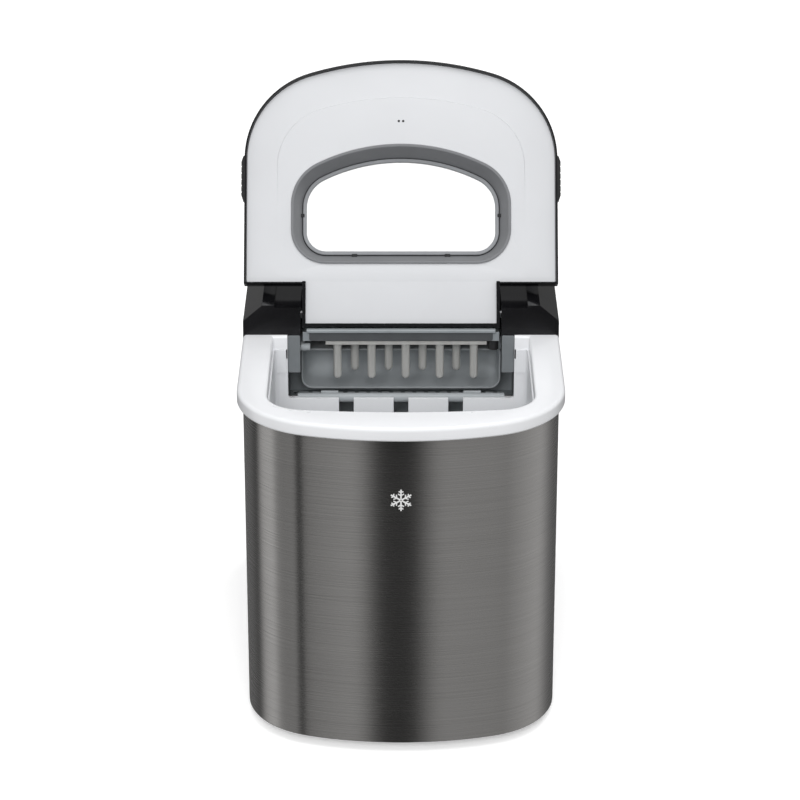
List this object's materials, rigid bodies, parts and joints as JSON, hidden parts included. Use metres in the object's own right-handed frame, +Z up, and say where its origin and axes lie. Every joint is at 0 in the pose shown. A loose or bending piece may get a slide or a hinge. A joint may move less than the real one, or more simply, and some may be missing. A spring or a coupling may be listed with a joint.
{
  "type": "countertop ice maker",
  "caption": "Countertop ice maker with a lifting windowed lid, white rim, dark brushed steel wrap, freezing fingers, tilting tray, basket and cooling unit.",
  "frame": {"origin": "on the floor under the middle of the bounding box", "axes": "+Z up, the front with the basket faces -Y, +X to the right seen from the front"},
  "size_m": [0.247, 0.352, 0.4511],
  "materials": {
    "rim_white": "gloss",
    "liner_white": "satin",
    "black_gloss": "gloss",
    "black_matte": "matte",
    "mechanism_grey": "satin",
    "tray_grey": "satin",
    "dark_steel": "brushed",
    "nickel": "satin",
    "aluminium": "mill",
    "copper": "drawn",
    "steel": "machined",
    "compressor_black": "satin",
    "rubber": "matte",
    "clear": "clear",
    "board_green": "satin",
    "lens": "gloss",
    "float_white": "matte"
  },
  "bodies": {
    "chassis": {"base_pan": "black_matte", "foot_front_left": "rubber", "foot_front_right": "rubber", "foot_rear_left": "rubber", "foot_rear_right": "rubber", "wrap_panel": "dark_steel", "rear_panel": "black_matte", "rear_screws": "steel", "cord_gland": "black_matte", "collar": "rim_white", "liner": "liner_white", "rear_housing": "black_gloss", "hinge_pin_left": "steel", "hinge_pin_right": "steel", "control_overlay": "black_gloss", "indicator_lenses": "lens", "control_board": "board_green", "mechanism_housing": "mechanism_grey", "evaporator_plate": "nickel", "freezing_fingers": "nickel", "evaporator_cover": "mechanism_grey", "tray_bush_left": "float_white", "tray_bush_right": "float_white", "tray_gearmotor": "steel", "shovel_rod": "steel", "ice_full_sensor": "black_matte", "float_stem": "float_white", "drain_tube": "float_white", "water_pump": "black_matte", "water_hose": "float_white", "tray_inlet": "tray_grey", "compressor": "compressor_black", "compressor_grommets": "rubber", "condenser": "aluminium", "fan_shroud": "black_matte", "fan_motor": "steel", "filter_drier": "copper", "suction_line": "copper", "discharge_line": "copper", "capillary_line": "copper", "hot_gas_valve": "steel"},
    "lid": {"lid_shell": "black_gloss", "lid_panel": "liner_white", "window_ring": "tray_grey", "window_pane": "clear", "lid_grip_left": "black_matte", "lid_grip_right": "black_matte"},
    "tray": {"water_tray": "tray_grey", "tray_pin": "steel", "tray_drive_shaft": "steel"},
    "shovel": {"ice_shovel": "tray_grey"},
    "basket": {"ice_basket": "tray_grey"},
    "float": {"water_float": "float_white"},
    "fan": {"fan_rotor": "black_matte"},
    "power_key": {"power_button": "black_gloss"},
    "select_key": {"select_button": "black_gloss"},
    "drain_plug": {"drain_cap": "black_matte", "drain_seal": "rubber"}
  },
  "joints": [
    {"name": "lid_hinge", "type": "hinge", "parent": "chassis", "child": "lid", "pos_m": [0, 0.022, 0.276], "axis": [1, 0, 0], "range_deg": [0, 120.5]},
    {"name": "tray_tilt", "type": "hinge", "parent": "chassis", "child": "tray", "pos_m": [0, 0.04, 0.245], "axis": [1, 0, 0], "range_deg": [-90, 0]},
    {"name": "shovel_swing", "type": "hinge", "parent": "chassis", "child": "shovel", "pos_m": [0, 0.0065, 0.2125], "axis": [1, 0, 0], "range_deg": [-31.6, 0]},
    {"name": "basket_lift", "type": "slide", "parent": "chassis", "child": "basket", "axis": [0, 0, 1], "range_m": [0, 0.068]},
    {"name": "float_rise", "type": "slide", "parent": "chassis", "child": "float", "axis": [0, 0, 1], "range_m": [0, 0.018]},
    {"name": "fan_spin", "type": "hinge", "parent": "chassis", "child": "fan", "pos_m": [0.045, 0.122, 0.092], "axis": [1, 0, 0], "continuous": true},
    {"name": "power_press", "type": "slide", "parent": "chassis", "child": "power_key", "axis": [0, 0, -1], "range_m": [0, 0.0012], "stiffness_N_per_m": 400, "springref_m": -0.001},
    {"name": "select_press", "type": "slide", "parent": "chassis", "child": "select_key", "axis": [0, 0, -1], "range_m": [0, 0.0012], "stiffness_N_per_m": 400, "springref_m": -0.001},
    {"name": "drain_cap_turn", "type": "hinge", "parent": "chassis", "child": "drain_plug", "pos_m": [0.036, -0.11, 0.012], "axis": [0, 0, 1], "range_deg": [0, 90]}
  ],
  "couplings": [
    {"joint": "shovel_swing", "follows": "tray_tilt", "ratio": 0.35}
  ]
}
